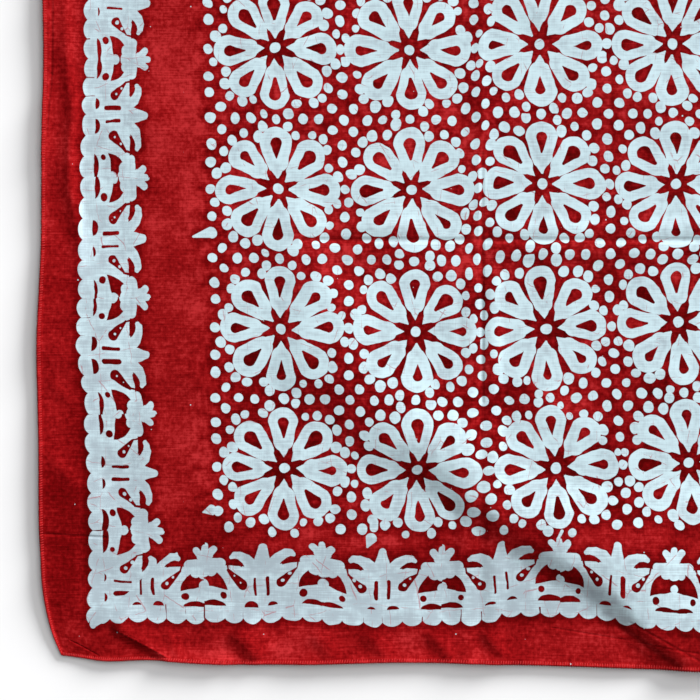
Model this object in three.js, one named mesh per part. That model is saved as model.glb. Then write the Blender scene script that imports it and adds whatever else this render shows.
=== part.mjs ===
// Square cotton scarf with a rolled hem, as it lies on a table. Millimetres, +Z up.
// The cloth is one sheet. It lies flat on the table, and lifts off it along one long slanting fold,
// beside the creases that it was stored in and at its edges.
import * as THREE from 'three';

const clothWidth = 605;
const clothDepth = 585;
const clothThickness = 1;
const clothColour = 0x8b1115;
const clothRoughness = 0.85;

// Even cell counts put a grid line on each half line, where the storage creases are.
const cellsAcross = 40;
const cellsDeep = 40;

// Rolled hem: the height of the cloth's upper side over its underside, by distance from the edge.
const hemSection = [
  { inset: 0, height: 1.3 },
  { inset: 1.1, height: 2.2 },
  { inset: 2.6, height: clothThickness },
];

// Outline. Each row is a place along an edge, counted from its left or front end: how far the edge
// lies inside the straight cut line, and how far it lifts off the table.
const leftEdge = [
  { along: 0, inset: 13.5, lift: 0.8 },
  { along: 14, inset: 8.5, lift: 2 },
  { along: 43, inset: 2.2, lift: 4 },
  { along: 80, inset: -0.6, lift: 5.2 },
  { along: 150, inset: -1.5, lift: 4.6 },
  { along: 215, inset: -2.8, lift: 5.6 },
  { along: 285, inset: 0, lift: 4.8 },
  { along: 355, inset: 0.8, lift: 5.2 },
  { along: 425, inset: 2, lift: 5.6 },
  { along: 510, inset: 0.6, lift: 4.6 },
  { along: 585, inset: 1.5, lift: 3.5 },
];
const frontEdge = [
  { along: 0, inset: 5, lift: 0.8 },
  { along: 20, inset: 3.4, lift: 1.8 },
  { along: 40, inset: 1.4, lift: 4 },
  { along: 75, inset: 2.1, lift: 5 },
  { along: 110, inset: 0, lift: 4.4 },
  { along: 178, inset: -0.7, lift: 5.2 },
  { along: 247, inset: 0.7, lift: 4.4 },
  { along: 316, inset: -0.7, lift: 5 },
  { along: 385, inset: -2.8, lift: 4 },
  { along: 447, inset: -4.8, lift: 2.4 },
  { along: 530, inset: -2, lift: 3.2 },
  { along: 605, inset: 1, lift: 3 },
];
const rightEdge = [
  { along: 0, inset: 1, lift: 3 },
  { along: 130, inset: -1, lift: 4.6 },
  { along: 290, inset: 1, lift: 4 },
  { along: 450, inset: -0.6, lift: 5 },
  { along: 585, inset: 1.2, lift: 3.2 },
];
const backEdge = [
  { along: 0, inset: 1.5, lift: 3.2 },
  { along: 140, inset: -0.8, lift: 4.8 },
  { along: 300, inset: 1, lift: 4.2 },
  { along: 470, inset: -1, lift: 5 },
  { along: 605, inset: 1.2, lift: 3.2 },
];
const bowReach = 70;
const liftReach = 60;

// Crest of the slanting fold, from its faint start near the middle of the cloth to the front edge.
// near is how wide its steep front left side is, far its gentle back right side.
const slantFold = [
  { across: 176, deep: 300, height: 1, near: 40, far: 36 },
  { across: 190, deep: 250, height: 3.2, near: 44, far: 42 },
  { across: 210, deep: 198, height: 2.6, near: 52, far: 50 },
  { across: 264, deep: 152.5, height: 5, near: 36, far: 54 },
  { across: 301, deep: 113.5, height: 5, near: 23, far: 52 },
  { across: 348, deep: 81.5, height: 6, near: 25, far: 62 },
  { across: 390, deep: 54.5, height: 6.8, near: 21, far: 90 },
  { across: 420, deep: 26, height: 7.4, near: 20, far: 125 },
  { across: 440, deep: 10, height: 7.8, near: 19, far: 150 },
  { across: 475, deep: -21, height: 7.8, near: 19, far: 150 },
];
const slantFoldSteps = 64;

// Pressed creases, straight from one place on the cloth to another. A ridge stands up along its
// line. A valley touches the table there, between two low shoulders. fade is how long the crease
// takes to die away at its ends.
const creases = [
  { from: [302.5, 292.5], to: [302.5, 600], form: 'ridge', height: 1.8, reach: 22, fade: 10 },
  { from: [302.5, -15], to: [302.5, 292.5], form: 'valley', height: 1.4, reach: 30, fade: 10 },
  { from: [302.5, 292.5], to: [620, 292.5], form: 'valley', height: 1.8, reach: 32, fade: 10 },
  { from: [120, 292.5], to: [302.5, 292.5], form: 'valley', height: 0.9, reach: 32, fade: 40 },
  { from: [202, 300], to: [202, 500], form: 'ridge', height: 0.9, reach: 24, fade: 60 },
  { from: [34, 34], to: [86, 0], form: 'ridge', height: 2.4, reach: 20, fade: 14 },
  { from: [16, 460], to: [25, 285], form: 'ridge', height: 2.8, reach: 14, fade: 40 },
];

// A column of a table at any place along it, easing from row to row.
function readColumn(rows, place, column, at) {
  const span = rows.findLastIndex((row, i) => i < rows.length - 1 && row[place] <= at);
  const start = rows[Math.max(span, 0)];
  const end = rows[Math.max(span, 0) + 1];
  const share = THREE.MathUtils.smoothstep(at, start[place], end[place]);
  return THREE.MathUtils.lerp(start[column], end[column], share);
}

// One at the line itself, falling to nothing at the reach with a soft foot.
function fall(distance, reach) {
  return Math.max(0, 1 - distance / reach) ** 2;
}

function roundCrest(distance, reach) {
  return distance < reach ? 0.5 + 0.5 * Math.cos((Math.PI * distance) / reach) : 0;
}

function twoShoulders(distance, reach) {
  return distance < reach ? Math.sin((Math.PI * distance) / reach) : 0;
}

// Each edge's rows, the place along it and the distance in from it, for a point of the flat cloth.
function edgesAt(across, deep) {
  return {
    left: { rows: leftEdge, along: deep, inwards: across },
    right: { rows: rightEdge, along: deep, inwards: clothWidth - across },
    front: { rows: frontEdge, along: across, inwards: deep },
    back: { rows: backEdge, along: across, inwards: clothDepth - deep },
  };
}

function bowOf(edge) {
  return readColumn(edge.rows, 'along', 'inset', edge.along) * fall(edge.inwards, bowReach);
}

function edgeLift(edges) {
  const lifts = Object.values(edges).map(
    (edge) => readColumn(edge.rows, 'along', 'lift', edge.along) * fall(edge.inwards, liftReach),
  );
  return Math.max(...lifts);
}

// The slanting fold as a smooth line of short steps, each with its height and widths.
function slantFoldLine() {
  const crest = slantFold.map((row) => new THREE.Vector3(row.across, row.deep, row.height));
  const curve = new THREE.CatmullRomCurve3(crest, false, 'centripetal');
  return Array.from({ length: slantFoldSteps + 1 }, (_, i) => {
    const share = (i / slantFoldSteps) * (slantFold.length - 1);
    const row = Math.min(Math.floor(share), slantFold.length - 2);
    const between = (column) =>
      THREE.MathUtils.lerp(slantFold[row][column], slantFold[row + 1][column], share - row);
    return { point: curve.getPoint(i / slantFoldSteps), near: between('near'), far: between('far') };
  });
}

const foldLine = slantFoldLine();

function slantFoldLift(across, deep) {
  let nearest = { distance: Infinity };
  for (let i = 0; i < slantFoldSteps; i += 1) {
    const start = foldLine[i].point;
    const run = new THREE.Vector2(foldLine[i + 1].point.x - start.x, foldLine[i + 1].point.y - start.y);
    const offset = new THREE.Vector2(across - start.x, deep - start.y);
    const share = THREE.MathUtils.clamp(offset.dot(run) / run.lengthSq(), 0, 1);
    const distance = offset.clone().addScaledVector(run, -share).length();
    if (distance < nearest.distance) {
      const height = THREE.MathUtils.lerp(start.z, foldLine[i + 1].point.z, share);
      const reach = run.cross(offset) > 0 ? foldLine[i].far : foldLine[i].near;
      nearest = { distance, height, reach };
    }
  }
  return Math.max(0, nearest.height) * roundCrest(nearest.distance, nearest.reach);
}

function creaseLift(crease, across, deep) {
  const run = new THREE.Vector2(crease.to[0] - crease.from[0], crease.to[1] - crease.from[1]);
  const offset = new THREE.Vector2(across - crease.from[0], deep - crease.from[1]);
  const length = run.length();
  const along = offset.dot(run) / length;
  const distance = Math.abs(run.cross(offset)) / length;
  const section = crease.form === 'ridge' ? fall : twoShoulders;
  const fromEnd = Math.min(along, length - along);
  const taper = THREE.MathUtils.smoothstep(fromEnd, 0, crease.fade);
  return crease.height * taper * section(distance, crease.reach);
}

// Where a point of the flat cloth lies on the table, and how far its underside is above it.
function layCloth(across, deep) {
  const edges = edgesAt(across, deep);
  const folds = creases.map((crease) => creaseLift(crease, across, deep));
  const lift = folds.reduce((sum, height) => sum + height, slantFoldLift(across, deep));
  return new THREE.Vector3(
    across + bowOf(edges.left) - bowOf(edges.right),
    deep + bowOf(edges.front) - bowOf(edges.back),
    lift + edgeLift(edges),
  );
}

function thicknessAt(across, deep) {
  const inset = Math.min(across, clothWidth - across, deep, clothDepth - deep);
  const hem = hemSection.findLastIndex((row) => row.inset <= inset + 1e-6);
  return hemSection[hem].height;
}

// Grid lines over one side of the cloth: those of the hem at each end, and even cells between.
function gridLines(length, cells) {
  const hem = hemSection.map((row) => row.inset);
  const start = hem.at(-1);
  const step = (length - 2 * start) / cells;
  const inner = Array.from({ length: cells - 1 }, (_, i) => start + step * (i + 1));
  return [...hem, ...inner, ...hem.map((inset) => length - inset).reverse()];
}

// The sheet as a closed solid: its underside, its upper side and the rim between them.
function sheetGeometry() {
  const columns = gridLines(clothWidth, cellsAcross);
  const rows = gridLines(clothDepth, cellsDeep);
  const perSide = columns.length * rows.length;
  const positions = [];
  for (const upper of [0, 1]) {
    for (const deep of rows) {
      for (const across of columns) {
        const point = layCloth(across, deep);
        positions.push(point.x, point.y, point.z + upper * thicknessAt(across, deep));
      }
    }
  }
  const indices = [];
  const quad = (a, b, c, d) => indices.push(a, b, d, b, c, d);
  const at = (column, row, upper) => upper * perSide + row * columns.length + column;
  for (let row = 0; row < rows.length - 1; row += 1) {
    for (let column = 0; column < columns.length - 1; column += 1) {
      quad(at(column, row, 1), at(column + 1, row, 1), at(column + 1, row + 1, 1), at(column, row + 1, 1));
      quad(at(column, row, 0), at(column, row + 1, 0), at(column + 1, row + 1, 0), at(column + 1, row, 0));
    }
  }
  const lastColumn = columns.length - 1;
  const lastRow = rows.length - 1;
  const rim = (from, to) => quad(at(...from, 0), at(...to, 0), at(...to, 1), at(...from, 1));
  for (let column = 0; column < lastColumn; column += 1) {
    rim([column, 0], [column + 1, 0]);
    rim([column + 1, lastRow], [column, lastRow]);
  }
  for (let row = 0; row < lastRow; row += 1) {
    rim([0, row + 1], [0, row]);
    rim([lastColumn, row], [lastColumn, row + 1]);
  }
  const geometry = new THREE.BufferGeometry();
  geometry.setAttribute('position', new THREE.Float32BufferAttribute(positions, 3));
  geometry.setIndex(indices);
  return geometry;
}

// The origin is under the middle of the cloth, on the table.
function centreOnTable(geometry) {
  geometry.computeBoundingBox();
  const box = geometry.boundingBox;
  const middle = box.getCenter(new THREE.Vector3());
  geometry.translate(-middle.x, -middle.y, -box.min.z);
  geometry.computeVertexNormals();
  return geometry;
}

const clothMaterial = new THREE.MeshStandardMaterial({
  color: clothColour,
  roughness: clothRoughness,
  metalness: 0,
});
const cloth = new THREE.Mesh(centreOnTable(sheetGeometry()), clothMaterial);
cloth.name = 'scarf_cloth';

const scarf = new THREE.Group();
scarf.add(cloth);

export default scarf;
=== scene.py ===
import math

import bpy
import numpy as np
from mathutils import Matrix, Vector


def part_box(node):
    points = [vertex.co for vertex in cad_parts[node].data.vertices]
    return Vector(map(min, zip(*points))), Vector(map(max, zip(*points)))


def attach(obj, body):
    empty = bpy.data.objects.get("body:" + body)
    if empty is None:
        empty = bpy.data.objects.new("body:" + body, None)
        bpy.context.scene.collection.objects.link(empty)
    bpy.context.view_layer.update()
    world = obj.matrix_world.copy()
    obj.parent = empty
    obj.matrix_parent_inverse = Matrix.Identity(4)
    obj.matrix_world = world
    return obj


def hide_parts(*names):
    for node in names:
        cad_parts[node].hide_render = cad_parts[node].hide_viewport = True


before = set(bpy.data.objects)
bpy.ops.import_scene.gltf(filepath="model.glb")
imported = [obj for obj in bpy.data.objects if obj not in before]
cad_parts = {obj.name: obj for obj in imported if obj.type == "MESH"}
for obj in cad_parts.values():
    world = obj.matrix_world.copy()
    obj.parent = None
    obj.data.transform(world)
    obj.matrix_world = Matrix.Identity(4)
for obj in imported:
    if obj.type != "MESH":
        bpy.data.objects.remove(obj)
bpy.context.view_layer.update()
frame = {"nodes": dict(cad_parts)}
print("frame loaded:", ", ".join(frame["nodes"]))

mm = 0.001
chartUnit = 0.69  # mm, the unit in which the wax stamps are charted
bakeMap = "OFBake"  # UV map holding the flat cloth


# the cloth: one sheet lying on the table, with its hem
clothValues = {
    "width": 605.0,  # the flat cut, mm
    "depth": 585.0,
    "cellsAcross": 210,
    "cellsDeep": 196,
    "fineAcross": [(0, 100), (280, 470)],  # finer cells for the margin's creases and the sharp fold
    "fineDeep": [(0, 130)],
    "fineness": 1.9,
    "gridSamples": 2000,
    "bowReach": 70.0,  # how far in from an edge its bow and its lift are felt
    "liftReach": 60.0,
    "foldSteps": 8,  # short lines between two rows of a fold
    "rippleSeed": 7,
    "rippleLengths": (34.0, 57.0, 95.0),
    "rippleWaves": 4,  # of each length
    "rippleBend": (1.7, 1.3),  # length of a wave's own bends, in waves, and their strength
    "rippleSlope": 0.03,
    "settle": 0.25,
    "mapRim": 3.0,  # room on the UV map for the rim outside the cloth
    "mapOutside": 2.0,  # how far out the rim's lower corners are mapped
    "edgeTolerance": 0.001,
}

# rolled hem: distance from the edge, height of the upper side over the underside, down to the bare cloth
hemSection = [(0, 0.8), (0.2, 1.4), (0.55, 1.8), (1.0, 1.9), (1.4, 1.7), (1.8, 1.1), (2.3, 0.5)]

# edges: place along, how far inside the cut line, lift off the table
leftEdge = [
    (0, 13.5, 0.8), (14, 8.5, 2), (43, 2.2, 4), (80, -0.6, 5.2), (150, -1.5, 4.6), (215, -2.8, 5.6),
    (285, 0, 4.8), (355, 0.8, 5.2), (425, 2, 5.6), (510, 0.6, 4.6), (585, 1.5, 3.5),
]
frontEdge = [
    (0, 5, 0.8), (20, 3.4, 1.8), (40, 1.4, 4), (75, 2.1, 5), (110, 0, 4.4), (178, -0.7, 5.2),
    (247, 0.7, 4.4), (316, -0.7, 5), (385, -2.8, 4), (447, -4.8, 2.4), (530, -2, 3.2), (605, 1, 3),
]
rightEdge = [(0, 1, 3), (130, -1, 4.6), (290, 1, 4), (450, -0.6, 5), (585, 1.2, 3.2)]
backEdge = [(0, 1.5, 3.2), (140, -0.8, 4.8), (300, 1, 4.2), (470, -1, 5), (605, 1.2, 3.2)]

# folds: crest across and deep, height, width of its near and far side
slantFold = [
    (176, 300, 1.0, 40, 36), (190, 250, 3.2, 44, 42), (210, 198, 2.6, 52, 50), (264, 152.5, 5.0, 36, 54),
    (301, 113.5, 5.0, 23, 52), (348, 81.5, 6.0, 25, 62), (390, 54.5, 6.8, 21, 90),
    (420, 26, 7.4, 20, 125), (440, 10, 7.8, 19, 150), (475, -21, 7.8, 19, 150),
]
marginFold = [
    (15, 520, 0, 10, 8), (16.5, 428, 1.8, 11, 8), (18.3, 400, 2.8, 12, 8), (21.4, 381, 3.2, 13, 8),
    (19.6, 355, 3.2, 13, 8), (20, 328, 3.2, 12, 8), (22.3, 315, 3.0, 12, 8), (25.4, 297, 2.4, 12, 8),
    (27, 275, 1.2, 12, 9), (28, 245, 0, 12, 10),
]

# creases: start, end, form, height, reach to the left and right of it,
# and how long its ends take to die away
creases = [
    ((302.5, 292.5), (302.5, 600), "ridge", 1.2, 18, 18, 10),
    ((303, 110), (303, 292.5), "valley", 1.0, 15, 15, 40),
    ((302.5, -15), (302.5, 120), "valley", 0.7, 18, 18, 10),
    ((302.5, 291), (620, 291), "valley", 1.2, 15, 15, 10),
    ((150, 291), (302.5, 291), "valley", 1.1, 16, 16, 60),
    ((202, 300), (202, 500), "ridge", 0.9, 24, 24, 60),
    ((44, 27), (92, -2), "ridge", 3.4, 32, 4, 12),
    ((84, 24), (97, -1), "ridge", 1.2, 12, 5, 8),
    ((130, 25), (153, 0), "ridge", 4.0, 24, 13, 8),
    ((186, 23), (204, 0), "ridge", 2.2, 15, 9, 8),
    ((222, 23), (240, 0), "ridge", 2.4, 15, 9, 8),
    ((265, 23), (284, 0), "ridge", 2.9, 15, 8, 8),
    ((300, 25), (324, 0), "ridge", 2.2, 14, 8, 10),
    ((80, -1), (140, -1), "ridge", 3.0, 14, 3, 16),
    ((162, -1), (330, -1), "ridge", 1.9, 12, 3, 24),
    ((-1, 398), (-1, 338), "ridge", 1.8, 12, 3, 16),
    ((286, 110), (283, 250), "ridge", 0.8, 12, 12, 30),
    ((2, 150), (26, 118), "ridge", 1.0, 12, 8, 12),
    ((2, 200), (24, 176), "ridge", 0.9, 10, 8, 12),
]


def readRows(rows, column, at):
    places = np.array([row[0] for row in rows], float)
    values = np.array([row[column] for row in rows], float)
    slopes = np.gradient(values, places)
    span = np.clip(np.searchsorted(places, at, side="right") - 1, 0, len(rows) - 2)
    step = places[span + 1] - places[span]
    t = np.clip((at - places[span]) / step, 0, 1)
    between = values[span] + (values[span + 1] - values[span]) * t * t * (3 - 2 * t)
    return between + step * t * (1 - t) * (slopes[span] * (1 - t) - slopes[span + 1] * t)


def fall(distance, reach):
    return np.clip(1 - distance / reach, 0, None) ** 2


def roundCrest(distance, reach):
    return np.where(distance < reach, 0.5 + 0.5 * np.cos(np.pi * distance / reach), 0)


def twoShoulders(distance, reach):
    return np.where(distance < reach, np.sin(np.pi * distance / reach), 0)


def edgesAt(across, deep):
    width, depth = clothValues["width"], clothValues["depth"]
    return {
        "left": (leftEdge, deep, across),
        "right": (rightEdge, deep, width - across),
        "front": (frontEdge, across, deep),
        "back": (backEdge, across, depth - deep),
    }


def edgeBow(edge):
    rows, along, inwards = edge
    return readRows(rows, 1, along) * fall(inwards, clothValues["bowReach"])


def edgeLift(edges):
    reach = clothValues["liftReach"]
    lifts = [readRows(rows, 2, along) * fall(inwards, reach) for rows, along, inwards in edges.values()]
    return np.maximum.reduce(lifts)


def smoothLine(rows, steps):
    # a curve through the rows, with all their columns
    table = np.array(rows, float)
    padded = np.vstack([2 * table[0] - table[1], table, 2 * table[-1] - table[-2]])
    out = []
    for i in range(len(table) - 1):
        a, b, c, d = padded[i : i + 4]
        for t in np.arange(steps) / steps:
            out.append(0.5 * (2 * b + (c - a) * t + (2 * a - 5 * b + 4 * c - d) * t**2
                              + (3 * b - a - 3 * c + d) * t**3))
    return np.array(out + [table[-1]])


def foldLift(rows, section, across, deep):
    line = smoothLine(rows, clothValues["foldSteps"])
    best = np.full(across.shape, np.inf)
    lift = np.zeros(across.shape)
    for start, end in zip(line[:-1], line[1:]):
        run = end[:2] - start[:2]
        du, dv = across - start[0], deep - start[1]
        share = np.clip((du * run[0] + dv * run[1]) / run.dot(run), 0, 1)
        distance = np.hypot(du - share * run[0], dv - share * run[1])
        isFar = run[0] * dv - run[1] * du > 0
        height, near, far = (start[i] + share * (end[i] - start[i]) for i in (2, 3, 4))
        nearer = distance < best
        here = np.clip(height, 0, None) * section(distance, np.where(isFar, far, near))
        lift = np.where(nearer, here, lift)
        best = np.where(nearer, distance, best)
    return lift


def creaseLift(crease, across, deep):
    start, end, form, height, leftReach, rightReach, fade = crease
    run = np.subtract(end, start)
    length = np.hypot(*run)
    du, dv = across - start[0], deep - start[1]
    along = (du * run[0] + dv * run[1]) / length
    sideways = (run[0] * dv - run[1] * du) / length
    distance = np.abs(sideways)
    reach = np.where(sideways > 0, leftReach, rightReach)
    fromEnd = np.clip(np.minimum(along, length - along) / fade, 0, 1)
    section = fall if form == "ridge" else twoShoulders
    return height * fromEnd**2 * (3 - 2 * fromEnd) * section(distance, reach)


def ripple(across, deep):
    # slight unevenness of cloth that was folded and washed
    rng = np.random.default_rng(clothValues["rippleSeed"])
    waves = clothValues["rippleWaves"]
    bendLength, bendStrength = clothValues["rippleBend"]
    total = np.zeros(across.shape)
    for length in clothValues["rippleLengths"]:
        for _ in range(waves):
            angle, phase = rng.uniform(0, math.pi), rng.uniform(0, 2 * math.pi)
            wave = across * math.cos(angle) + deep * math.sin(angle)
            sideways = deep * math.cos(angle) - across * math.sin(angle)
            bend = np.sin(sideways / (length * bendLength) + phase)
            total += length * np.sin(2 * math.pi * wave / length + phase + bendStrength * bend)
    return clothValues["rippleSlope"] * total / (waves * math.pi)


def layCloth(across, deep):
    # where points of the flat cloth lie: X and Y on the table, and the underside's height
    edges = edgesAt(across, deep)
    x = across + edgeBow(edges["left"]) - edgeBow(edges["right"])
    y = deep + edgeBow(edges["front"]) - edgeBow(edges["back"])
    lift = foldLift(slantFold, roundCrest, across, deep) + foldLift(marginFold, fall, across, deep)
    lift = lift + edgeLift(edges)
    for crease in creases:
        lift = lift + creaseLift(crease, across, deep)
    lift = lift + ripple(across, deep)
    return x, y, 0.5 * (lift + np.hypot(lift, clothValues["settle"]))  # down to the table, not into it


def hemHeight(across, deep):
    width, depth = clothValues["width"], clothValues["depth"]
    inset = np.minimum.reduce([across, width - across, deep, depth - deep])
    return readRows(hemSection, 1, inset)


def gridLines(length, cells, fineStretches):
    hem = [row[0] for row in hemSection]
    places = np.linspace(hem[-1], length - hem[-1], clothValues["gridSamples"])
    counted = np.ones(len(places))
    for start, end in fineStretches:
        counted[(places > start) & (places < end)] = clothValues["fineness"]
    counted = np.cumsum(counted)
    inner = np.interp(np.linspace(counted[0], counted[-1], cells + 1)[1:-1], counted, places)
    return np.concatenate([hem, inner, [length - inset for inset in reversed(hem)]])


def flatGrid():
    columns = gridLines(clothValues["width"], clothValues["cellsAcross"], clothValues["fineAcross"])
    rows = gridLines(clothValues["depth"], clothValues["cellsDeep"], clothValues["fineDeep"])
    return np.meshgrid(columns, rows)


def newPiece(name, points, faces):
    mesh = bpy.data.meshes.new(name)
    mesh.from_pydata(points, [], faces)
    mesh.validate()
    mesh.polygons.foreach_set("use_smooth", [True] * len(mesh.polygons))
    piece = bpy.data.objects.new(name, mesh)
    bpy.context.scene.collection.objects.link(piece)
    return piece


def tableShift():
    # from the flat cloth's corner to the frame, by the middle of the CAD sheet's box
    x, y, _ = layCloth(*flatGrid())
    low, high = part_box("scarf_cloth")
    return (
        (low[0] + high[0]) / 2 - (x.min() + x.max()) / 2 * mm,
        (low[1] + high[1]) / 2 - (y.min() + y.max()) / 2 * mm,
    )


shiftX, shiftY = tableShift()


def makeCloth():
    across, deep = flatGrid()
    x, y, lift = layCloth(across, deep)
    upper = np.stack([x * mm + shiftX, y * mm + shiftY, (lift + hemHeight(across, deep)) * mm], -1)
    lower = np.stack([x * mm + shiftX, y * mm + shiftY, lift * mm], -1)
    points = np.vstack([upper.reshape(-1, 3), lower.reshape(-1, 3)])

    number = np.arange(across.size).reshape(across.shape)
    a, b, c, d = number[:-1, :-1], number[:-1, 1:], number[1:, 1:], number[1:, :-1]
    top = np.stack([a, b, c, d], -1).reshape(-1, 4)
    bottom = top[:, ::-1] + across.size
    ring = np.concatenate([number[0, :-1], number[:-1, -1], number[-1, :0:-1], number[:0:-1, 0]])
    following = np.roll(ring, -1)
    rim = np.stack([ring + across.size, following + across.size, following, ring], -1)
    piece = newPiece("scarf_sheet", points.tolist(), np.vstack([top, bottom, rim]).tolist())

    # flat places on the UV map; the rim's lower corners go just outside the cloth
    edge = clothValues["mapRim"]
    full = np.array([clothValues["width"] + 2 * edge, clothValues["depth"] + 2 * edge])
    flat = np.stack([across.ravel(), deep.ravel()], -1)
    middle = np.array([clothValues["width"], clothValues["depth"]]) / 2
    atEdge = np.abs(flat - middle) > middle - clothValues["edgeTolerance"]
    outside = np.where(atEdge, flat + clothValues["mapOutside"] * np.sign(flat - middle), flat)
    mesh = piece.data
    corners = np.empty(len(mesh.loops), np.int32)
    mesh.loops.foreach_get("vertex_index", corners)
    places = np.vstack([flat, flat])[corners]
    rimCorners = np.arange(len(corners)) >= 4 * (len(top) + len(bottom))
    lowRim = rimCorners & (corners >= across.size)
    places[lowRim] = outside[corners[lowRim] - across.size]
    uv = mesh.uv_layers.new(name=bakeMap)
    uv.uv.foreach_set("vector", ((places + edge) / full).astype(np.float32).ravel())
    return piece


scarf = makeCloth()
print("cloth made:", len(scarf.data.polygons), "faces")


# overlock stitches over the rolled hem
stitchValues = {
    "pitch": 1.7,
    "slant": 1.0,
    "threadRadius": 0.24,
    "sides": 5,
    # across the roll: distance from the edge, height over the underside
    "overRoll": [(-0.15, 0.5), (0.0, 1.4), (0.6, 1.95), (1.2, 1.9), (1.9, 1.15), (2.4, 0.45)],
    "cornerGap": 3.0,
}


def unit(vectors):
    return vectors / np.linalg.norm(vectors, axis=-1, keepdims=True)


def stitchRings(edgeName):
    # rings of points round every stitch along one edge, in the frame
    width, depth = clothValues["width"], clothValues["depth"]
    alongFront = edgeName in ("front", "back")
    length = width if alongFront else depth
    rows = np.array(stitchValues["overRoll"])
    lean = stitchValues["slant"] * np.linspace(-0.5, 0.5, len(rows))
    gap = stitchValues["cornerGap"]
    along = np.arange(gap, length - gap, stitchValues["pitch"])[:, None] + lean
    inset = np.broadcast_to(rows[:, 0], along.shape)
    across, deep = {
        "left": (inset, along), "right": (width - inset, along),
        "front": (along, inset), "back": (along, depth - inset),
    }[edgeName]
    nearest = np.clip(across, 0, width), np.clip(deep, 0, depth)
    x, y, lift = layCloth(*nearest)
    line = np.stack([x + across - nearest[0], y + deep - nearest[1], lift + rows[:, 1]], -1)
    ahead = unit(np.gradient(line, axis=1))
    sideways = unit(np.cross(ahead, (1, 0, 0) if alongFront else (0, 1, 0)))
    upwards = np.cross(ahead, sideways)
    turns = 2 * math.pi * np.arange(stitchValues["sides"])[:, None] / stitchValues["sides"]
    outwards = np.cos(turns) * sideways[:, :, None] + np.sin(turns) * upwards[:, :, None]
    rings = line[:, :, None] + stitchValues["threadRadius"] * outwards
    return rings * mm + (shiftX, shiftY, 0)


def makeStitches():
    rings = np.concatenate([stitchRings(edge) for edge in ("left", "right", "front", "back")])
    number = np.arange(rings.size // 3).reshape(rings.shape[:3])
    beside = np.roll(number, -1, axis=2)
    walls = np.stack([number[:, :-1], beside[:, :-1], beside[:, 1:], number[:, 1:]], -1)
    ends = np.concatenate([number[:, 0, ::-1], number[:, -1]])
    faces = walls.reshape(-1, 4).tolist() + ends.tolist()
    return newPiece("hem_stitches", rings.reshape(-1, 3).tolist(), faces)


stitches = makeStitches()
print("hem stitched:", len(stitches.data.polygons), "faces")


# helpers for shader nodes
class Wire:
    # a socket with sums on it, so that a shape reads as its formula
    def __init__(self, tree, socket):
        self.tree = tree
        self.socket = socket

    def math(self, operation, *others, clamp=False):
        node = self.tree.nodes.new("ShaderNodeMath")
        node.operation = operation
        node.use_clamp = clamp
        for socket, value in zip(node.inputs, (self,) + others):
            plug(self.tree, value, socket)
        return Wire(self.tree, node.outputs[0])

    def vector(self, operation, *others):
        node = self.tree.nodes.new("ShaderNodeVectorMath")
        node.operation = operation
        sockets = [s for s in node.inputs if s.enabled]
        for socket, value in zip(sockets, (self,) + others):
            plug(self.tree, value, socket)
        return Wire(self.tree, next(s for s in node.outputs if s.enabled))

    def __add__(self, other):
        return self.math("ADD", other)

    def __sub__(self, other):
        return self.math("SUBTRACT", other)

    def __mul__(self, other):
        return self.math("MULTIPLY", other)

    def __neg__(self):
        return self.math("MULTIPLY", -1)

    def part(self, axis):
        node = self.tree.nodes.new("ShaderNodeSeparateXYZ")
        plug(self.tree, self, node.inputs[0])
        return Wire(self.tree, node.outputs[axis])


def plug(tree, value, socket):
    if isinstance(value, Wire):
        tree.links.new(value.socket, socket)
    else:
        socket.default_value = value


def addNode(tree, kind, inputs=None, **settings):
    node = tree.nodes.new(kind)
    for name, value in settings.items():
        setattr(node, name, value)
    for name, value in (inputs or {}).items():
        plug(tree, value, node.inputs[name])
    return node


def together(x, y, z=0.0):
    node = addNode(x.tree, "ShaderNodeCombineXYZ", {"X": x, "Y": y, "Z": z})
    return Wire(x.tree, node.outputs[0])


def least(first, *others):
    for other in others:
        first = first.math("MINIMUM", other)
    return first


def most(first, *others):
    for other in others:
        first = first.math("MAXIMUM", other)
    return first


def ramp(value, low, high, toLow=0.0, toHigh=1.0, curve="SMOOTHSTEP"):
    settings = {"Value": value, "From Min": low, "From Max": high, "To Min": toLow, "To Max": toHigh}
    node = addNode(value.tree, "ShaderNodeMapRange", settings, interpolation_type=curve)
    return Wire(value.tree, node.outputs[0])


def noise(place, size, detail=2.0, roughness=0.5):
    # soft noise with features of this size, as a value and a colour
    settings = {"Vector": place, "Scale": 1 / size, "Detail": detail, "Roughness": roughness}
    node = addNode(place.tree, "ShaderNodeTexNoise", settings, noise_dimensions="2D")
    return Wire(place.tree, node.outputs["Fac"]), Wire(place.tree, node.outputs["Color"])


def mixColour(share, first, second):
    tree = share.tree
    node = addNode(tree, "ShaderNodeMix", data_type="RGBA")
    sockets = {s.identifier: s for s in node.inputs}
    plug(tree, share, sockets["Factor_Float"])
    plug(tree, first, sockets["A_Color"])
    plug(tree, second, sockets["B_Color"])
    return Wire(tree, next(s for s in node.outputs if s.identifier == "Result_Color"))


def mixValue(share, first, second):
    tree = share.tree
    node = addNode(tree, "ShaderNodeMix", {"Factor": share}, data_type="FLOAT")
    sockets = {s.identifier: s for s in node.inputs}
    plug(tree, first, sockets["A_Float"])
    plug(tree, second, sockets["B_Float"])
    return Wire(tree, next(s for s in node.outputs if s.identifier == "Result_Float"))


def srgb(red, green, blue):
    def linear(value):
        value /= 255
        return value / 12.92 if value <= 0.04045 else ((value + 0.055) / 1.055) ** 2.4
    return (linear(red), linear(green), linear(blue), 1.0)


socketKinds = {"value": "NodeSocketFloat", "vector": "NodeSocketVector"}


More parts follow.
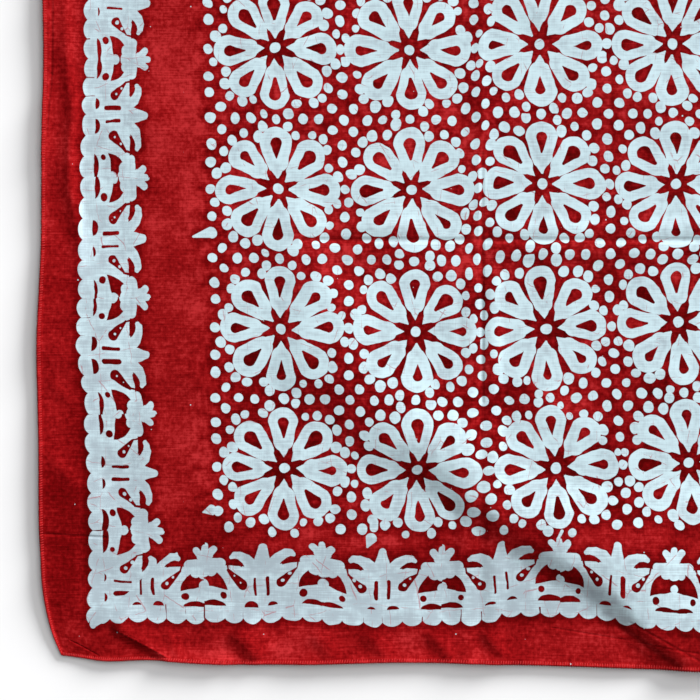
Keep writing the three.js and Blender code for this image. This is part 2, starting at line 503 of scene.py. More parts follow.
def newGroup(name, inputs, outputs):
    tree = bpy.data.node_groups.new(name, "ShaderNodeTree")
    for socketName, kind in inputs.items():
        tree.interface.new_socket(socketName, in_out="INPUT", socket_type=socketKinds[kind])
    for socketName, kind in outputs.items():
        tree.interface.new_socket(socketName, in_out="OUTPUT", socket_type=socketKinds[kind])
    entry = tree.nodes.new("NodeGroupInput")
    return tree, {socketName: Wire(tree, entry.outputs[socketName]) for socketName in inputs}


def closeGroup(tree, **outputs):
    addNode(tree, "NodeGroupOutput", {name.capitalize(): value for name, value in outputs.items()})
    return tree


def useGroup(tree, group, **inputs):
    node = addNode(tree, "ShaderNodeGroup", node_tree=group)
    for name, value in inputs.items():
        plug(tree, value, node.inputs[name.capitalize()])
    return {socket.name: Wire(tree, socket) for socket in node.outputs}


def draws(x, y, z=0.0):
    # three chances, each half a unit either way, for a numbered repeat
    node = addNode(x.tree, "ShaderNodeTexWhiteNoise", {"Vector": together(x, y, z)})
    colour = Wire(x.tree, node.outputs["Color"])
    return [colour.part(axis) - 0.5 for axis in range(3)]


# distances to simple shapes on the flat cloth: below nothing inside, above it outside
def disc(place, centre, radius):
    return place.vector("DISTANCE", (*centre, 0)) - radius


def oval(place, centre, radii):
    scaled = place.vector("MULTIPLY_ADD", (1 / radii[0], 1 / radii[1], 0),
                          (-centre[0] / radii[0], -centre[1] / radii[1], 0))
    return (scaled.vector("LENGTH") - 1) * min(radii)


def taper(place, start, end, startRadius, endRadius):
    run = (end[0] - start[0], end[1] - start[1], 0)
    offset = place.vector("SUBTRACT", (*start, 0))
    square = run[0] ** 2 + run[1] ** 2
    share = offset.vector("DOT_PRODUCT", run).math("DIVIDE", square, clamp=True)
    nearest = Wire(place.tree, addNode(place.tree, "ShaderNodeVectorMath", operation="SCALE").outputs[0])
    scale = nearest.socket.node
    scale.inputs[0].default_value = run
    plug(place.tree, share, scale.inputs["Scale"])
    radius = share.math("MULTIPLY_ADD", endRadius - startRadius, startRadius)
    return offset.vector("DISTANCE", nearest) - radius


# flower of eight drop-shaped petals and the dots around it, in chart units from its centre
flowerChart = {
    "petalFoot": ((11.8, 0), (28, 0), 0.8, 10.6),
    "petal": ((28, 0), (46.2, 0), 10.6, 15.8),
    "hole": ((31.4, 0), (46, 0), 0.7, 5.7),
    "centre": 5.2,
    "star": 22.0,
    "dotRadius": 5.0,
    # dots of one eighth of a cell; the other eighths mirror them
    "dots": [(48.8, 48.8), (59, 59)],
    "looseDots": [(64, 14.3), (53.3, 22), (54.5, 37.3)],  # set one by one, each a little off
    "lineDots": [(70, 0), (70, 28), (70, 44.5), (70, 70)],  # shared with the next cell
    "halfCell": 70.0,
    "frontLine": -58.0,  # the front row has no dots beyond this line
    "outOfSight": 50.0,
    # how much the petals and the loose dots differ from one to the next
    "petalTurn": 0.07,
    "petalPlump": 1.5,
    "holeSize": 2.4,
    "looseShift": 5.0,
    "looseSize": 1.6,
    # numbers that keep the draws for dots and for shades apart from the petals'
    "dotDraw": 9.0,
    "shadeDraw": 5.0,
}


def flowerGroup():
    tree, inputs = newGroup(
        "flowerAndDots",
        {"Place": "vector", "Cell": "vector", "Squeeze": "value", "Plump": "value"},
        {"Distance": "value", "Hole": "value", "Shade": "value"})
    place, cell, squeeze = inputs["Place"], inputs["Cell"], inputs["Squeeze"]
    x, y = place.part(0), place.part(1)
    angle = y.math("ARCTAN2", x)
    eighths = angle * (4 / math.pi)
    petalNumber = eighths.math("ROUND")
    plump, holeSize, lean = draws(petalNumber.math("FLOORED_MODULO", 8), cell.part(0), cell.part(1))
    turned = angle - petalNumber * (math.pi / 4) + lean * flowerChart["petalTurn"]
    radius = place.vector("LENGTH")
    holeShift = holeSize * flowerChart["holeSize"]
    petalPlace = together(radius * turned.math("COSINE") + holeShift, radius * turned.math("SINE"))
    petal = least(taper(petalPlace, *flowerChart["petalFoot"]), taper(petalPlace, *flowerChart["petal"]))
    hole = taper(petalPlace, *flowerChart["hole"]) - holeShift
    petal = most(petal - plump * flowerChart["petalPlump"], -hole)
    flower = least(petal, radius - flowerChart["centre"])
    folded = place.vector("ABSOLUTE")
    fx, fy = folded.part(0) * squeeze, folded.part(1)
    octant = together(most(fx, fy), least(fx, fy))
    dots = least(*[disc(octant, dot, flowerChart["dotRadius"]) for dot in flowerChart["dots"]])
    offsets = draws(eighths.math("FLOOR"), cell.part(0) + flowerChart["dotDraw"], cell.part(1))
    shift = flowerChart["looseShift"]
    for i, (dotX, dotY) in enumerate(flowerChart["looseDots"]):
        centre = together(offsets[i] * shift + dotX, offsets[i - 1] * shift + dotY)
        size = offsets[i - 2] * flowerChart["looseSize"] + flowerChart["dotRadius"]
        dots = least(dots, octant.vector("DISTANCE", centre) - size)
    lineDots = least(*[disc(octant, dot, flowerChart["dotRadius"]) for dot in flowerChart["lineDots"]])
    inFrontRow = cell.part(1).math("LESS_THAN", 0.5)
    below = y.math("LESS_THAN", flowerChart["frontLine"]) * inFrontRow
    dots = least(dots, lineDots + below * flowerChart["outOfSight"]) - inputs["Plump"]
    shadeCell = cell.part(0) + flowerChart["shadeDraw"]
    shade = draws(petalNumber.math("FLOORED_MODULO", 8), shadeCell, cell.part(1))[0]
    star = radius - flowerChart["star"]
    return closeGroup(tree, distance=least(flower, dots), hole=least(hole, star),
                      shade=shade * star.math("GREATER_THAN", 0.0))


# border strip in chart units: along it from a palm's axis, and in from its scalloped outer edge
borderChart = {
    "halfRepeat": 58.5,
    "scallop": (9.75, 11.9, 12.0),  # half its width, how far in its centre is, radius
    "scallopBand": 9.0,
    "bodyTop": 57.0,
    "stampShift": 2.0,  # every stamp lies a little off the line of the last
    "stampTilt": 0.03,
    "split": (0.06, 1.7),  # gaps between scallops: draw at which one opens, width
    "splitLength": (12, 14),  # usual length, how much it differs
    # tapers have from, to and a radius at each end; ovals have a middle and radii
    "arch": ((58.5, 58), (42.5, 58.8), 6.6, 5.4),
    "palm": [
        ((0, 60), (0, 75), 8.0, 3.8),
        ((8, 55), (15, 63.5), 6.5, 5.4),
        ((15, 63.5), (22, 67), 5.4, 4.4),
        ((22, 67), (28, 67.5), 4.4, 3.5),
        ((28, 67.5), (31, 65.6), 3.5, 2.5),
    ],
    "palmSlits": [((20, 57), (30, 61.4), 0.8, 2.1), ((33.5, 51), (35.4, 60), 0.8, 1.3)],
    "crownFoot": ((58.5, 67), (8, 5)),
    "crown": [((58.5, 69), (58.5, 77.2), 4.6, 3.2), ((55, 68.8), (49.8, 74.2), 4.4, 3.5)],
    "dome": ((58.5, 31), (24, 23.5)),
    "domeFloor": 30.5,
    "inDome": [((34, 27), (58.5, 31.5), 4.5, 5.0), ((58.5, 60), (58.5, 52), 12, 7.0)],
    "inDomeDiscs": [((58.5, 37.8), 4.6), ((50.5, 51.8), 5.6)],
    "strip": 16.4,  # plain strip under the openings
    "mouth": ((49, 15.8), (11.4, 6.2)),
    "mouthJoin": ((47, 18.6), (58.5, 18.2), 2.3, 1.9),
    "halfMoon": ((11, 16.4), (6.0, 4.6)),
    "spot": ((39.8, 26.8), 3.3),
    "slit": ((6.4, 28.5), (6.2, 44.5), 1.9, 1.9),
    "eye": ((19.8, 38.6), (34, 52.4), 5.2, 1.1),
    "eyeDots": [((21, 40.4), 1.5), ((27.2, 46.8), 1.3)],
    "crownDraw": 5,  # keeps the crowns' draws apart from the palms'
}

# how much each opening of the border differs from one to the next
openingSpread = {
    "dome": 2.0, "mouth": 2.4, "mouthJoin": 1.2, "halfMoon": 2.2, "spot": 1.6, "slit": 1.4, "eye": 1.0,
}


def borderGroup():
    tree, inputs = newGroup(
        "borderStrip",
        {"Along": "value", "Across": "value", "Motif": "value", "Side": "value"}, {"Distance": "value"})
    along, motif, side = inputs["Along"], inputs["Motif"], inputs["Side"]
    halfRepeat = borderChart["halfRepeat"]

    stamp = (motif * (0.5 / halfRepeat)).math("ROUND")
    off, tilt, _ = draws(stamp, side)
    fromStamp = motif - stamp * (2 * halfRepeat)
    across = inputs["Across"] + off * borderChart["stampShift"]
    across = across + fromStamp * tilt * borderChart["stampTilt"]

    half, radius, lobe = borderChart["scallop"]
    fromNotch = along.math("PINGPONG", half)
    scallops = together(fromNotch - half, across - radius).vector("LENGTH") - lobe
    outer = least(scallops, across * -1 + borderChart["scallopBand"])
    opens, splitWidth = borderChart["split"]
    length, lengthSpread = borderChart["splitLength"]
    split, deepness, _ = draws((along * (0.5 / half)).math("ROUND"), side)
    split = most(fromNotch - (split - opens) * splitWidth, across - (deepness * lengthSpread + length))

    place = together(motif.math("PINGPONG", halfRepeat), across)

    def tapers(name):
        return [taper(place, *row) for row in borderChart[name]]

    body = most(outer, across - borderChart["bodyTop"])
    white = least(body, taper(place, *borderChart["arch"]), *tapers("palm"))
    white = most(white, -least(*tapers("palmSlits")))
    white = least(white, oval(place, *borderChart["crownFoot"]), *tapers("crown"))

    # openings differ from one half repeat to the next, and those under the crown from crown to crown
    first, second, third = draws((motif * (1 / halfRepeat)).math("FLOOR"), side)
    crownSide = side + borderChart["crownDraw"]
    mouthDraw, domeDraw, _ = draws((motif * (0.5 / halfRepeat)).math("FLOOR"), crownSide)
    strip = across * -1 + borderChart["strip"]
    dome = most(oval(place, *borderChart["dome"]), across * -1 + borderChart["domeFloor"])
    inDome = least(*tapers("inDome"), *[disc(place, *row) for row in borderChart["inDomeDiscs"]])
    eyeDots = least(*[disc(place, *row) for row in borderChart["eyeDots"]])
    openings = least(
        most(dome, -inDome) + domeDraw * openingSpread["dome"],
        most(oval(place, *borderChart["mouth"]), strip) + mouthDraw * openingSpread["mouth"],
        taper(place, *borderChart["mouthJoin"]) + mouthDraw * openingSpread["mouthJoin"],
        most(oval(place, *borderChart["halfMoon"]), strip) + third * openingSpread["halfMoon"],
        disc(place, *borderChart["spot"]) + first * openingSpread["spot"],
        taper(place, *borderChart["slit"]) + second * openingSpread["slit"],
        most(taper(place, *borderChart["eye"]), -eyeDots) + third * openingSpread["eye"],
    )
    return closeGroup(tree, distance=most(white, -openings, -split))


# where the four stamped blocks of flowers lie: shift across and deep in mm, turn in degrees
fieldValues = {
    "firstFlower": (168.2, 132.6),
    "pitch": (92.1, 96.6),
    "lean": -3.06,  # each row's shift across
    "flowers": 4,
    "stamps": {  # middle, shift, turn
        "frontLeft": ((212.7, 180.9), (-0.6, 0.1), -1.06),
        "frontRight": ((396.9, 180.9), (0.0, 3.5), 2.45),
        "backLeft": ((206.6, 374.1), (1.2, 0.2), -0.53),
        "backRight": ((390.8, 374.1), (-0.65, 4.1), -0.45),
    },
    "stampJoin": 14.0,
}

# border strips, mm: their scalloped edge in from the cloth's edge by place along it, and their palms
borderValues = {
    "frontLine": [(40, 26.6), (150, 27.2), (178, 28.4), (212, 24.8), (285, 25.0), (310, 27.4),
                  (345, 31.6), (380, 30.8), (420, 25.0), (447, 24.4)],
    "leftLine": [(36, 30.6), (110, 32), (160, 30.8), (200, 27.4), (230, 25.6), (285, 25.6),
                 (350, 27.2), (450, 29)],
    "frontPalms": [-5, 73, 151.8, 235, 317, 396, 473, 550, 627],
    "leftPalms": [-28, 51, 130.4, 211.8, 291.2, 377.4, 455, 533, 611],
    "leftSquash": [(50, 1.0), (105, 1.1), (400, 1.2), (600, 1.2)],  # the side strips are narrower
    "mitreShift": 7.0,
    "mitreReach": (8.0, 20.0),
    "cornerLobe": ((9.5, 7.5), (3.8, -0.8), 7.6, 2.6),
    "plainCorner": 21.0,  # chart units past the last palm, after which the corner has no openings
}

# drips: from, to, radius at each end, mm on the flat cloth
waxDrips = [
    ((104.5, 293.5), (116.3, 296.4), 0.8, 3.8),
    ((111.2, 103.5), (116.8, 105), 0.5, 3.7),
    ((227, 85), (224.5, 79.5), 4.0, 0.8),
    ((229, 96.5), (229, 92.5), 3.0, 2.8),
    ((356, 87), (358, 91), 1.0, 1.1),
    ((87, 72), (93, 75), 0.5, 0.7),
]

# unevenness of hand stamping: size of the wobble and how far it moves an edge, mm
waxValues = {
    "wobbles": [(38, 3.6), (9, 1.0)],
    "dotPlump": (11, 2.6),
    "edgeSpread": (9, 1.0),
    "speckPitch": 26,  # stray specks of wax: spacing, draw past which there is one, size
    "speckDraw": 0.74,
    "speckSize": 2.0,
}


def alongRows(value, rows, handles="AUTO"):
    # a table's second column at this value of its first
    first, last = rows[0][0], rows[-1][0]
    low, high = min(row[1] for row in rows), max(row[1] for row in rows)
    share = ramp(value, first, last, curve="LINEAR")
    node = addNode(value.tree, "ShaderNodeFloatCurve", {"Value": share})
    points = node.mapping.curves[0].points
    while len(points) < len(rows):
        points.new(0.5, 0.5)
    for point, (place, result) in zip(points, rows):
        point.location = ((place - first) / (last - first), (result - low) / (high - low))
        point.handle_type = handles
    node.mapping.update()
    return Wire(value.tree, node.outputs[0]) * (high - low) + low


def stampValue(pick, right, back):
    stamps = fieldValues["stamps"]
    front = mixValue(right, pick(*stamps["frontLeft"]), pick(*stamps["frontRight"]))
    rear = mixValue(right, pick(*stamps["backLeft"]), pick(*stamps["backRight"]))
    return mixValue(back, front, rear)


def waxGroup(flowers, border):
    tree, inputs = newGroup("waxPattern", {"Place": "vector"},
                            {"Distance": "value", "Halo": "value", "Hole": "value", "Shade": "value"})
    flat = inputs["Place"]
    width, depth = clothValues["width"], clothValues["depth"]

    place = flat
    for size, shift in waxValues["wobbles"]:
        wobble = noise(flat, size, 1)[1].vector("SUBTRACT", (0.5, 0.5, 0.5))
        place = place.vector("ADD", wobble.vector("MULTIPLY", (shift, shift, 0)))
    u, v = place.part(0), place.part(1)

    # field of flowers
    pitchU, pitchV = fieldValues["pitch"]
    firstU, firstV = fieldValues["firstFlower"]
    join = fieldValues["stampJoin"]
    middleU = firstU + 1.5 * (pitchU + fieldValues["lean"])
    middleV = firstV + 1.5 * pitchV
    right = ramp(u, middleU - join, middleU + join)
    back = ramp(v, middleV - join, middleV + join)
    turn = stampValue(lambda middle, shift, angle: math.radians(angle), right, back)
    moveU = stampValue(
        lambda middle, shift, angle: shift[0] + math.radians(angle) * middle[1], right, back)
    moveV = stampValue(
        lambda middle, shift, angle: shift[1] - math.radians(angle) * middle[0], right, back)
    fieldU = u - moveU + turn * v
    fieldV = v - moveV - turn * u
    row = (fieldV - firstV) * (1 / pitchV)
    column = (fieldU - firstU - row * fieldValues["lean"]) * (1 / pitchU)
    last = fieldValues["flowers"] - 1
    cellU = least(most(column.math("ROUND"), 0.0), float(last))
    cellV = least(most(row.math("ROUND"), 0.0), float(last))
    flowerPlace = together((column - cellU) * (pitchU / chartUnit), (row - cellV) * (pitchV / chartUnit))
    squeeze = 2 * flowerChart["halfCell"] * chartUnit / pitchU
    plumpSize, plumpSpread = waxValues["dotPlump"]
    plump = (noise(flat, plumpSize, 1)[0] - 0.5) * plumpSpread
    flower = useGroup(tree, flowers, place=flowerPlace, cell=together(cellU, cellV), squeeze=squeeze,
                      plump=plump)

    # border round the cloth, mitred at its corners, with the side strips running a little further
    sideIn = least(u, u * -1 + width)
    endIn = least(v, v * -1 + depth)
    leftIn = sideIn - alongRows(v, borderValues["leftLine"])
    frontIn = endIn - alongRows(u, borderValues["frontLine"])
    mitre = ramp(frontIn, *borderValues["mitreReach"], 0.0, borderValues["mitreShift"])
    onSide = (leftIn - mitre).math("LESS_THAN", frontIn)
    repeat = 2 * borderChart["halfRepeat"]
    palmsU, palmsV = ([(place, number * repeat) for number, place in enumerate(borderValues[name])]
                      for name in ("frontPalms", "leftPalms"))
    along = mixValue(onSide, alongRows(u, palmsU, "VECTOR"), alongRows(v, palmsV, "VECTOR"))
    plain = borderValues["plainCorner"]
    motif = least(most(along, repeat - plain), (len(palmsU) - 2) * repeat + plain)
    squashed = leftIn * alongRows(v, borderValues["leftSquash"], "VECTOR")
    across = mixValue(onSide, frontIn, squashed) * (1 / chartUnit)
    strip = useGroup(tree, border, along=along, across=across, motif=motif, side=onSide)["Distance"]

    # stray drips of wax
    drips = least(*[taper(flat, start, end, startRadius, endRadius)
                    for start, end, startRadius, endRadius in waxDrips])
    pitch = waxValues["speckPitch"]
    specks = addNode(tree, "ShaderNodeTexVoronoi", {"Vector": flat, "Scale": 1 / pitch},
                     voronoi_dimensions="2D")
    chance = Wire(tree, specks.outputs["Color"]).part(0)
    speckRadius = (chance - waxValues["speckDraw"]) * waxValues["speckSize"]
    speck = Wire(tree, specks.outputs["Distance"]) * pitch - speckRadius

    corner = taper(together(leftIn, frontIn), *borderValues["cornerLobe"])
    spreadSize, spreadWidth = waxValues["edgeSpread"]
    spread = (noise(flat, spreadSize, 2)[0] - 0.5) * spreadWidth
    stamped = least(least(flower["Distance"], strip) * chartUnit + spread, corner, drips)
    return closeGroup(tree, distance=least(stamped, speck), halo=stamped, hole=flower["Hole"],
                      shade=flower["Shade"])


weaveValues = {
    "weft": ((0.05, 1, 1), 0.9),
    "warp": ((1, 0.08, 1), 0.8),
    "weftShare": 0.7,
    "checks": 0.35,
}
dyeValues = {
    "grainSize": 0.12,  # to a cloud's size
    "grainShare": 0.5,
    "roughness": 0.6,
}


def weaveGroup():
    tree, inputs = newGroup("cottonWeave", {"Place": "vector", "Thread": "value"},
                            {"Height": "value", "Streak": "value"})
    place = inputs["Place"]
    across, along = (noise(place.vector("MULTIPLY", stretch), size, 1)[0]
                     for stretch, size in (weaveValues["weft"], weaveValues["warp"]))
    share = weaveValues["weftShare"]
    streak = across * share + along * (1 - share)
    pitch = inputs["Thread"]
    warp, weft = ((place.part(axis) * math.pi).math("DIVIDE", pitch).math("SINE") for axis in (0, 1))
    height = warp * weft * weaveValues["checks"] + streak
    return closeGroup(tree, height=height, streak=streak)


def dyeGroup():
    tree, inputs = newGroup("dyeClouds", {"Place": "vector", "Size": "value"}, {"Tone": "value"})
    place = inputs["Place"].vector("DIVIDE", together(inputs["Size"], inputs["Size"], inputs["Size"]))
    clouds = noise(place, 1.0, 3, dyeValues["roughness"])[0]
    grain = noise(place, dyeValues["grainSize"], 2, dyeValues["roughness"])[0]
    share = dyeValues["grainShare"]
    return closeGroup(tree, tone=clouds * (1 - share) + grain * share)


# the finished cloth; a reach is from where to where, in mm
batikValues = {
    "redStops": [(0.2, srgb(82, 0, 0)), (0.4, srgb(114, 3, 6)), (0.58, srgb(148, 16, 19)),
                 (0.8, srgb(190, 44, 47))],
    "redTone": 0.62,
    "cloudSize": 24.0,
    "clouds": 0.85,
    "streaks": 0.36,
    "haloReach": (0.3, 6.0),  # the red grows lighter away from the wax
    "haloTone": (-0.13, 0.02),
    "unevenSize": 75.0,
    "uneven": 0.25,
    "marginReach": (20.0, 60.0),  # the margin outside the border is darker
    "marginTone": -0.1,
    "borderIn": (26.0, 33.0),  # in from the edge, where the border begins and ends
    "borderOut": (79.0, 66.0),
    "borderTone": -0.07,  # red left open in the border
    "holeEdge": (0.5, -1.0),  # red in the petals, each a little different
    "holeTone": -0.09,
    "holeSpread": 0.3,
    "fieldReach": (92.0, 112.0),  # the red between the flowers is the most uneven
    "fieldCloudSize": 8.0,
    "fieldClouds": 0.5,
    "patchSoftness": 0.9,
    "frontReach": (110.0, 330.0),  # the red is darker towards the front of the field; its margin is lighter, a painted highlight
    "frontTone": (-0.08, 0.01),
    "frontMarginHighlightReach": (20.0, 50.0),
    "frontMarginHighlight": 0.07,
    "white": srgb(207, 232, 240),
    "whiteDull": srgb(168, 183, 192),
    "stainSize": 16,
    "stainRoughness": 0.65,
    "stainStreaks": 0.9,
    "stainRange": (0.16, 1.11),
    "borderStainReach": (75.0, 100.0),  # the border's wax let more dye through
    "borderStain": (0.2, -0.03),
    "frontStainAcross": (340.0, 410.0),  # the whites of the front left are duller too, partly stain and partly painted shade
    "frontStainDeep": (210.0, 75.0),
    "frontStainAndShade": (0.17, -0.05),
    "waxDepth": (-0.8, -5.5),  # from the wax's edge to its middle
    "waxStain": (-0.07, 0.16),
    "crack": srgb(172, 88, 96),
    "crackStretches": ((0.016, 0.05, 0), (0.05, 0.016, 0)),
    "crackBends": (6, 2.0),  # size, strength
    "crackWidth": (0.003, 0.011),
    "crackStrength": 0.6,
    "crackPatch": 9,  # they come in patches, more of them in the border
    "crackDraw": (0.52, 0.66),
    "borderCracks": 0.08,
    "edge": 0.17,  # mm over which the colour changes at the wax's edge
    "thread": 0.45,
    "weaveHeight": 0.03,
    "streakRange": (0.2, 0.8),
    "roughness": (0.94, 0.82),
    "sheen": 0.01,
    "sheenRoughness": 0.5,
    "specular": 0.03,
}

# lighter patches of the red, partly uneven dye and partly painted highlight, such as the two along the
# front margin: middle and radii in mm, shift of the tone
dyeAndHighlightPatches = [
    ((237, 84), (36, 9), 0.24),
    ((112, 6), (42, 9), 0.13),
    ((166, 11), (18, 13), 0.13),
    ((206, 277), (26, 20), 0.16),
    ((288, 274), (15, 15), 0.16),
    ((275, 377), (18, 14), 0.1),
    ((399, 374), (24, 16), 0.1),
]


def clothPlace(tree):
    # millimetres on the flat cloth, from its front left corner
    uv = Wire(tree, addNode(tree, "ShaderNodeUVMap", uv_map=bakeMap).outputs[0])
    edge = clothValues["mapRim"]
    size = (clothValues["width"] + 2 * edge, clothValues["depth"] + 2 * edge, 0)
    return uv.vector("MULTIPLY_ADD", size, (-edge, -edge, 0))


def colourStops(value, stops):
    node = addNode(value.tree, "ShaderNodeValToRGB", {"Fac": value})
    elements = node.color_ramp.elements
    while len(elements) < len(stops):
        elements.new(0.5)
    for element, (position, colour) in zip(elements, stops):
        element.position = position
        element.color = colour
    return Wire(value.tree, node.outputs["Color"])


def newMaterial(name):
    material = bpy.data.materials.new(name)
    material.use_nodes = True
    tree = material.node_tree
    shader = next(n for n in tree.nodes if n.type == "BSDF_PRINCIPLED")
    return material, tree, shader


# sharp pressed lines too thin for the sheet's cells: from, to, width and depth in mm,
# with a depth below nothing where the line is raised
thinCreases = [
    ((-2, 89), (44, 86), 1.7, 0.4),
    ((6.2, 460), (5.6, 405), 2.0, 0.45),
    ((5.6, 405), (2.8, 365), 1.7, 0.4),
    ((49, 23), (88, 2.5), 1.5, -0.4),
    ((14, 12.5), (37, 3.5), 1.2, 0.35),
    ((352, 24.5), (453, 10.5), 1.2, 0.25),
    ((398, 25), (437, 1), 4.0, 1.1),
    ((405, 29), (452, 6), 1.6, 0.3),
    ((180, 291), (607, 291), 3.2, 0.55),
    ((303.5, 180), (303.5, 350), 2.6, 0.4),
]


def thinCreaseHeight(place):
    total = None
    for start, end, width, depth in thinCreases:
        groove = ramp(taper(place, start, end, 0.0, 0.0), 0.0, width, -depth, 0.0)
        total = groove if total is None else total + groove
    return total


def crackLines(place):
    # hairlines where the wax cracked, with the red dye in them
    cells = addNode(place.tree, "ShaderNodeTexVoronoi", {"Vector": place, "Scale": 1.0},
                    voronoi_dimensions="2D", feature="DISTANCE_TO_EDGE")
    distance = Wire(place.tree, cells.outputs["Distance"])
    return ramp(distance, *batikValues["crackWidth"], batikValues["crackStrength"], 0.0)


def batikMaterial(wax, weave, dye):
    material, tree, shader = newMaterial("batikCotton")
    place = clothPlace(tree)
    waxed = useGroup(tree, wax, place=place)
    distance = waxed["Distance"]
    inWax = ramp(distance, batikValues["edge"], -batikValues["edge"])
    tone = useGroup(tree, dye, place=place, size=batikValues["cloudSize"])["Tone"]
    threads = useGroup(tree, weave, place=place, thread=batikValues["thread"])

    width, depth = clothValues["width"], clothValues["depth"]
    fromMiddle = place.vector("SUBTRACT", (width / 2, depth / 2, 0)).vector("ABSOLUTE")
    inset = least(fromMiddle.part(0) * -1 + width / 2, fromMiddle.part(1) * -1 + depth / 2)
    inBorder = ramp(inset, *batikValues["borderIn"]) * ramp(inset, *batikValues["borderOut"])
    fromFront = place.part(1)

    redTone = (tone - 0.5) * batikValues["clouds"] + (threads["Streak"] - 0.5) * batikValues["streaks"]
    redTone = redTone + batikValues["redTone"]
    redTone = redTone + ramp(waxed["Halo"], *batikValues["haloReach"], *batikValues["haloTone"])
    redTone = redTone + (noise(place, batikValues["unevenSize"], 1)[0] - 0.5) * batikValues["uneven"]
    redTone = redTone + ramp(inset, *batikValues["marginReach"], batikValues["marginTone"], 0.0)
    redTone = redTone + inBorder * batikValues["borderTone"]
    holeTone = waxed["Shade"] * batikValues["holeSpread"] + batikValues["holeTone"]
    redTone = redTone + ramp(waxed["Hole"], *batikValues["holeEdge"]) * holeTone
    fieldClouds = (noise(place, batikValues["fieldCloudSize"], 2)[0] - 0.5) * batikValues["fieldClouds"]
    redTone = redTone + ramp(inset, *batikValues["fieldReach"]) * fieldClouds
    # lighter patches of the red, partly uneven dye and partly painted highlight
    for centre, radii, shift in dyeAndHighlightPatches:
        depthInside = -batikValues["patchSoftness"] * min(radii)
        redTone = redTone + ramp(oval(place, centre, radii), 0.0, depthInside) * shift
    redTone = redTone + ramp(fromFront, *batikValues["frontReach"], *batikValues["frontTone"])
    # painted highlight: the red is lighter along the front margin
    frontMargin = ramp(fromFront, *batikValues["frontMarginHighlightReach"], batikValues["frontMarginHighlight"], 0.0)
    redTone = redTone + frontMargin
    red = colourStops(redTone, batikValues["redStops"])

    stain = noise(place, batikValues["stainSize"], 3, batikValues["stainRoughness"])[0]
    stain = stain + (threads["Streak"] - 0.5) * batikValues["stainStreaks"]
    stain = stain + ramp(inset, *batikValues["borderStainReach"], *batikValues["borderStain"])
    # duller whites at the front left: partly stain, partly painted shade
    frontStainAndShade = ramp(place.part(0), *batikValues["frontStainAcross"], *batikValues["frontStainAndShade"])
    stain = stain + ramp(fromFront, *batikValues["frontStainDeep"]) * frontStainAndShade
    stain = stain + ramp(distance, *batikValues["waxDepth"], *batikValues["waxStain"])
    dullness = ramp(stain, *batikValues["stainRange"])
    white = mixColour(dullness, batikValues["white"], batikValues["whiteDull"])

    bendSize, bend = batikValues["crackBends"]
    bends = noise(place, bendSize, 2)[1].vector("MULTIPLY", (bend, bend, 0))
    bent = place.vector("ADD", bends)
    cracks = [crackLines(bent.vector("MULTIPLY", stretch)) for stretch in batikValues["crackStretches"]]
    cracked = noise(place, batikValues["crackPatch"], 2)[0] + inBorder * batikValues["borderCracks"]
    crackShare = most(*cracks) * ramp(cracked, *batikValues["crackDraw"])
    white = mixColour(crackShare, white, batikValues["crack"])

    plug(tree, mixColour(inWax, red, white), shader.inputs["Base Color"])
    roughness = ramp(threads["Streak"], *batikValues["streakRange"], *batikValues["roughness"])
    plug(tree, roughness, shader.inputs["Roughness"])
    height = threads["Height"] * batikValues["weaveHeight"] + thinCreaseHeight(place)
    bump = addNode(tree, "ShaderNodeBump", {"Height": height, "Strength": 1.0, "Distance": mm})
    tree.links.new(bump.outputs[0], shader.inputs["Normal"])
    shader.inputs["Sheen Weight"].default_value = batikValues["sheen"]
    shader.inputs["Sheen Roughness"].default_value = batikValues["sheenRoughness"]
    shader.inputs["Specular IOR Level"].default_value = batikValues["specular"]
    return material


threadValues = {
    "thread": srgb(198, 42, 44),
    "threadDeep": srgb(152, 18, 22),
    "cloudSize": 4.0,
    "cloudRange": (0.35, 0.65),
    "roughness": 0.7,
    "sheen": 0.05,
    "specular": 0.2,
}


def threadMaterial(dye):
    material, tree, shader = newMaterial("hemThread")
    spot = Wire(tree, addNode(tree, "ShaderNodeTexCoord").outputs["Object"]).vector("SCALE")
    spot.socket.node.inputs["Scale"].default_value = 1 / mm
    tone = useGroup(tree, dye, place=spot, size=threadValues["cloudSize"])["Tone"]
    share = ramp(tone, *threadValues["cloudRange"])
    colour = mixColour(share, threadValues["threadDeep"], threadValues["thread"])
    plug(tree, colour, shader.inputs["Base Color"])
    shader.inputs["Roughness"].default_value = threadValues["roughness"]
    shader.inputs["Sheen Weight"].default_value = threadValues["sheen"]
    shader.inputs["Specular IOR Level"].default_value = threadValues["specular"]
    return material


flowerShapes = flowerGroup()
borderShapes = borderGroup()
waxShapes = waxGroup(flowerShapes, borderShapes)
weaveShapes = weaveGroup()
dyeShapes = dyeGroup()
scarf.data.materials.append(batikMaterial(waxShapes, weaveShapes, dyeShapes))
stitches.data.materials.append(threadMaterial(dyeShapes))
print("materials made:", ", ".join(m.name for m in bpy.data.materials))


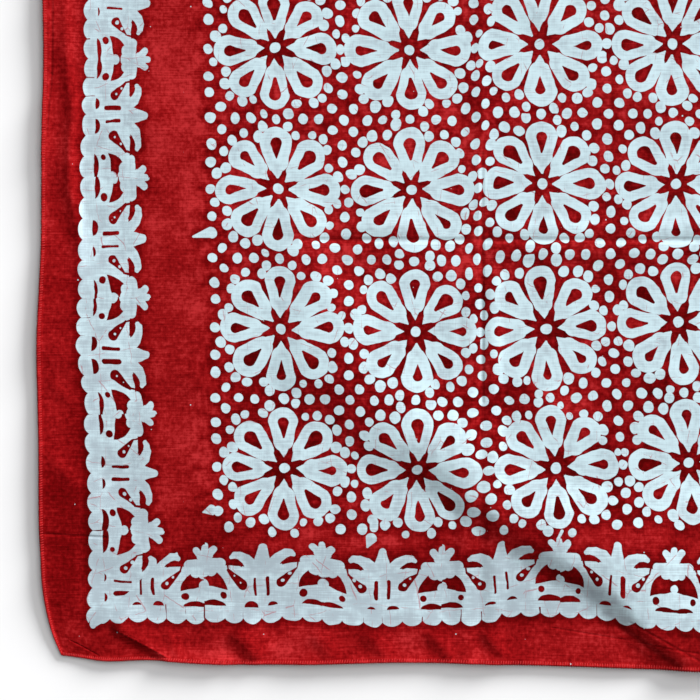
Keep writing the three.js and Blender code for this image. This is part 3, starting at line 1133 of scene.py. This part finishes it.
# floor, light and camera
stageValues = {
    "floorSize": 40.0,
    "floorDrop": 0.0003,
    "floorColour": srgb(252, 252, 253),
    "floorRoughness": 0.9,
    "floorSpecular": 0.1,
    "worldStrength": 0.105,
    "lightAzimuth": 43.0,
    # strength, spread and elevation of the low and the high light
    "lowLight": (5.5, 26.0, 18.0),
    "highLight": (1.4, 50.0, 62.0),
    "lens": 85.0,
    "sensor": 36.0,
    "viewWidth": 483.0,  # mm of cloth across the picture
    "viewMiddle": (212.5, 215.3),  # on the flat cloth, mm
}


def addSun(name, strength, spread, elevation):
    sun = bpy.data.lights.new(name, "SUN")
    sun.energy = strength
    sun.angle = math.radians(spread)
    lamp = bpy.data.objects.new(name, sun)
    turn = math.radians(90 + stageValues["lightAzimuth"])
    lamp.rotation_euler = (math.radians(90 - elevation), 0, turn)
    bpy.context.scene.collection.objects.link(lamp)


def makeStage():
    half = stageValues["floorSize"] / 2
    drop = -stageValues["floorDrop"]
    corners = [(-half, -half, drop), (half, -half, drop), (half, half, drop), (-half, half, drop)]
    floor = newPiece("floor", corners, [(0, 1, 2, 3)])
    material, _, shader = newMaterial("paleFloor")
    shader.inputs["Base Color"].default_value = stageValues["floorColour"]
    shader.inputs["Roughness"].default_value = stageValues["floorRoughness"]
    shader.inputs["Specular IOR Level"].default_value = stageValues["floorSpecular"]
    floor.data.materials.append(material)

    world = bpy.data.worlds.new("studio")
    bpy.context.scene.world = world
    world.use_nodes = True
    background = world.node_tree.nodes["Background"]
    background.inputs["Color"].default_value = (1, 1, 1, 1)
    background.inputs["Strength"].default_value = stageValues["worldStrength"]

    for name in ("lowLight", "highLight"):
        addSun(name, *stageValues[name])

    camera = bpy.data.objects.new("camera", bpy.data.cameras.new("camera"))
    camera.data.lens = stageValues["lens"]
    camera.data.sensor_width = stageValues["sensor"]
    away = stageValues["viewWidth"] * mm * stageValues["lens"] / stageValues["sensor"]
    u, v = stageValues["viewMiddle"]
    camera.location = (u * mm + shiftX, v * mm + shiftY, away)
    bpy.context.scene.collection.objects.link(camera)
    bpy.context.scene.camera = camera
    bpy.context.scene.view_settings.view_transform = "Standard"


makeStage()

for piece in (scarf, stitches):
    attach(piece, "root")
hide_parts("scarf_cloth")
